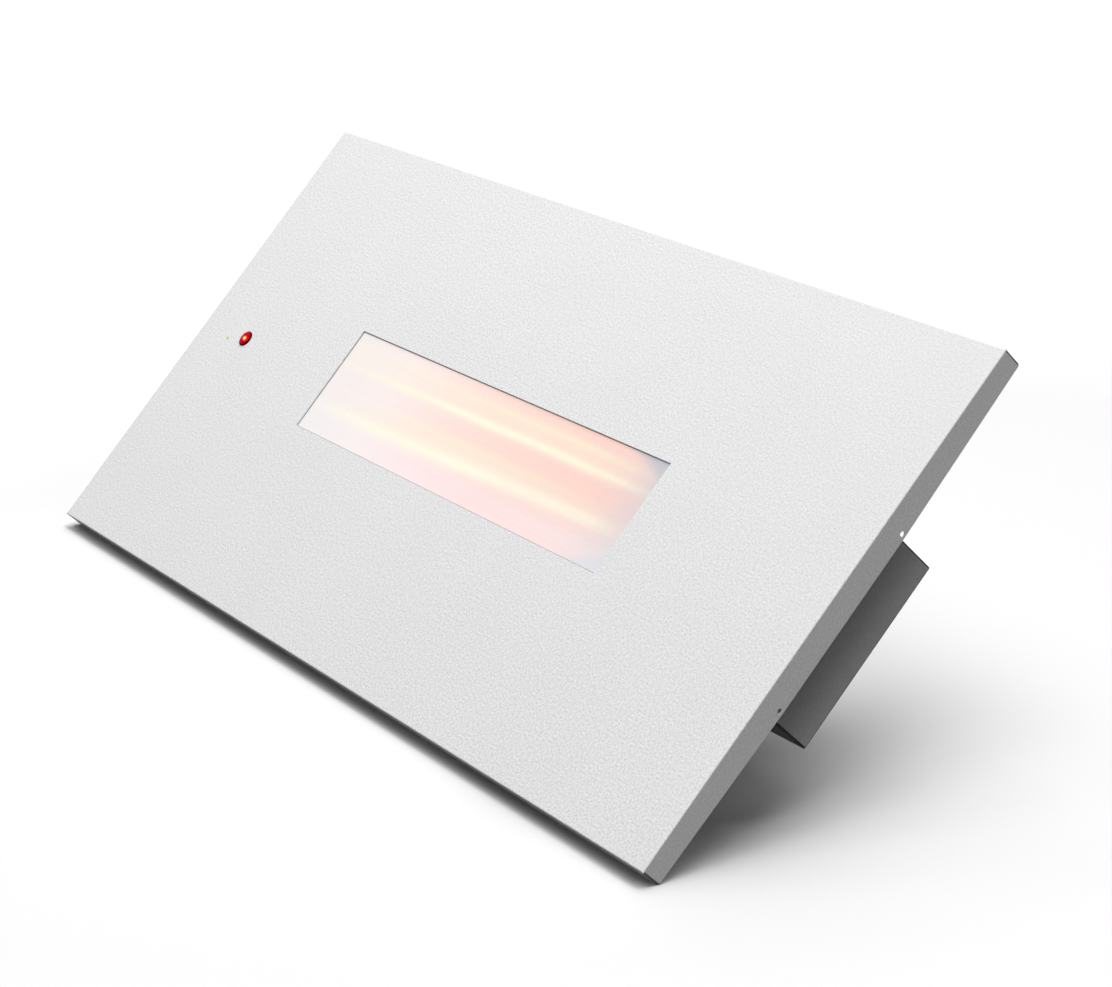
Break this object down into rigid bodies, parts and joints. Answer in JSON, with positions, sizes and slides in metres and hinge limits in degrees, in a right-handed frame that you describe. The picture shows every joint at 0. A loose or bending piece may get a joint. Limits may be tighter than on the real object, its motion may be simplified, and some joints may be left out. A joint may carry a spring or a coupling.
{
  "type": "recessed infrared heater",
  "caption": "Flat white panel heater for a ceiling grid: a lit glass window over quartz lamps in a box behind it, with a red receiver lens and a status light.",
  "frame": {"origin": "middle of the panel's front plane, which lies in the plane of the ceiling grid's opening", "axes": "+X along the panel's long side, -Y out of the front face into the room, +Z across the panel"},
  "size_m": [1.195, 0.1243, 0.595],
  "materials": {
    "panel_white": "white powder coat with a fine grain",
    "box_steel": "grey zinc-coated sheet, dull",
    "galvanised_steel": "galvanised sheet",
    "zinc_steel": "zinc-plated",
    "spring_steel": "bright wire",
    "rivet_aluminium": "satin",
    "bright_aluminium": "bright rolled",
    "window_glass": "frosted heat-resistant glass",
    "quartz": "clear quartz",
    "glowing_carbon": "woven carbon ribbon, glowing",
    "steatite": "unglazed technical ceramic",
    "ceramic_fibre": "needled ceramic fibre mat",
    "contact_brass": "plain",
    "gasket_rubber": "matt silicone",
    "red_silicone": "silicone-insulated wire",
    "black_silicone": "silicone-insulated wire",
    "supply_wire": "brown, blue and green-yellow wires",
    "black_plastic": "moulded nylon",
    "white_plastic": "moulded nylon",
    "relay_blue": "moulded",
    "terminal_green": "moulded",
    "board_green": "solder-masked glass fibre board",
    "sensor_dark": "dark infrared-passing resin",
    "lens_red": "glossy translucent red",
    "led_green": "lit yellow-green"
  },
  "bodies": {
    "heater": {"front_panel": "panel_white", "panel_studs": "zinc_steel", "panel_nuts": "zinc_steel", "window_gasket": "gasket_rubber", "window_glass": "window_glass", "glass_clips": "zinc_steel", "housing_body": "box_steel", "housing_end_left": "box_steel", "housing_end_right": "box_steel", "blind_rivets": "rivet_aluminium", "access_cover": "box_steel", "cover_screws": "zinc_steel", "bulkhead_left": "galvanised_steel", "bulkhead_right": "galvanised_steel", "heat_shield": "galvanised_steel", "insulation_mat": "ceramic_fibre", "reflector": "bright_aluminium", "reflector_end_left": "bright_aluminium", "reflector_end_right": "bright_aluminium", "lamp_tube_upper": "quartz", "lamp_tube_lower": "quartz", "lamp_filaments": "glowing_carbon", "lamp_caps": "steatite", "lamp_contacts": "contact_brass", "lamp_holders": "steatite", "holder_lids": "steatite", "contact_spring_upper_left": "spring_steel", "contact_spring_upper_right": "spring_steel", "contact_spring_lower_left": "spring_steel", "contact_spring_lower_right": "spring_steel", "machine_screws": "zinc_steel", "lamp_leads": "red_silicone", "link_block": "steatite", "return_leads": "black_silicone", "lead_clips": "white_plastic", "grommets": "gasket_rubber", "thermal_cutout": "black_plastic", "control_board": "board_green", "board_standoffs": "contact_brass", "relays": "relay_blue", "power_module": "black_plastic", "board_terminals": "terminal_green", "receiver_board": "board_green", "receiver_sensor": "sensor_dark", "signal_lead": "white_plastic", "receiver_lens": "lens_red", "lens_nut": "black_plastic", "status_led": "led_green", "led_spacer": "white_plastic", "terminal_block": "white_plastic", "terminal_bracket": "galvanised_steel", "supply_leads": "supply_wire", "earth_stud": "contact_brass", "cable_gland": "black_plastic", "gland_nut": "black_plastic"},
    "pin_upper_left": {"contact_pin_upper_left": "contact_brass"},
    "pin_upper_right": {"contact_pin_upper_right": "contact_brass"},
    "pin_lower_left": {"contact_pin_lower_left": "contact_brass"},
    "pin_lower_right": {"contact_pin_lower_right": "contact_brass"}
  },
  "joints": [
    {"name": "pin_upper_left_slide", "type": "slide", "parent": "heater", "child": "pin_upper_left", "axis": [-1, 0, 0], "range_m": [0, 0.0035], "stiffness_N_per_m": 1000, "springref_m": -0.002, "deforming": ["contact_spring_upper_left"]},
    {"name": "pin_upper_right_slide", "type": "slide", "parent": "heater", "child": "pin_upper_right", "axis": [1, 0, 0], "range_m": [0, 0.0035], "stiffness_N_per_m": 1000, "springref_m": -0.002, "deforming": ["contact_spring_upper_right"]},
    {"name": "pin_lower_left_slide", "type": "slide", "parent": "heater", "child": "pin_lower_left", "axis": [-1, 0, 0], "range_m": [0, 0.0035], "stiffness_N_per_m": 1000, "springref_m": -0.002, "deforming": ["contact_spring_lower_left"]},
    {"name": "pin_lower_right_slide", "type": "slide", "parent": "heater", "child": "pin_lower_right", "axis": [1, 0, 0], "range_m": [0, 0.0035], "stiffness_N_per_m": 1000, "springref_m": -0.002, "deforming": ["contact_spring_lower_right"]}
  ]
}
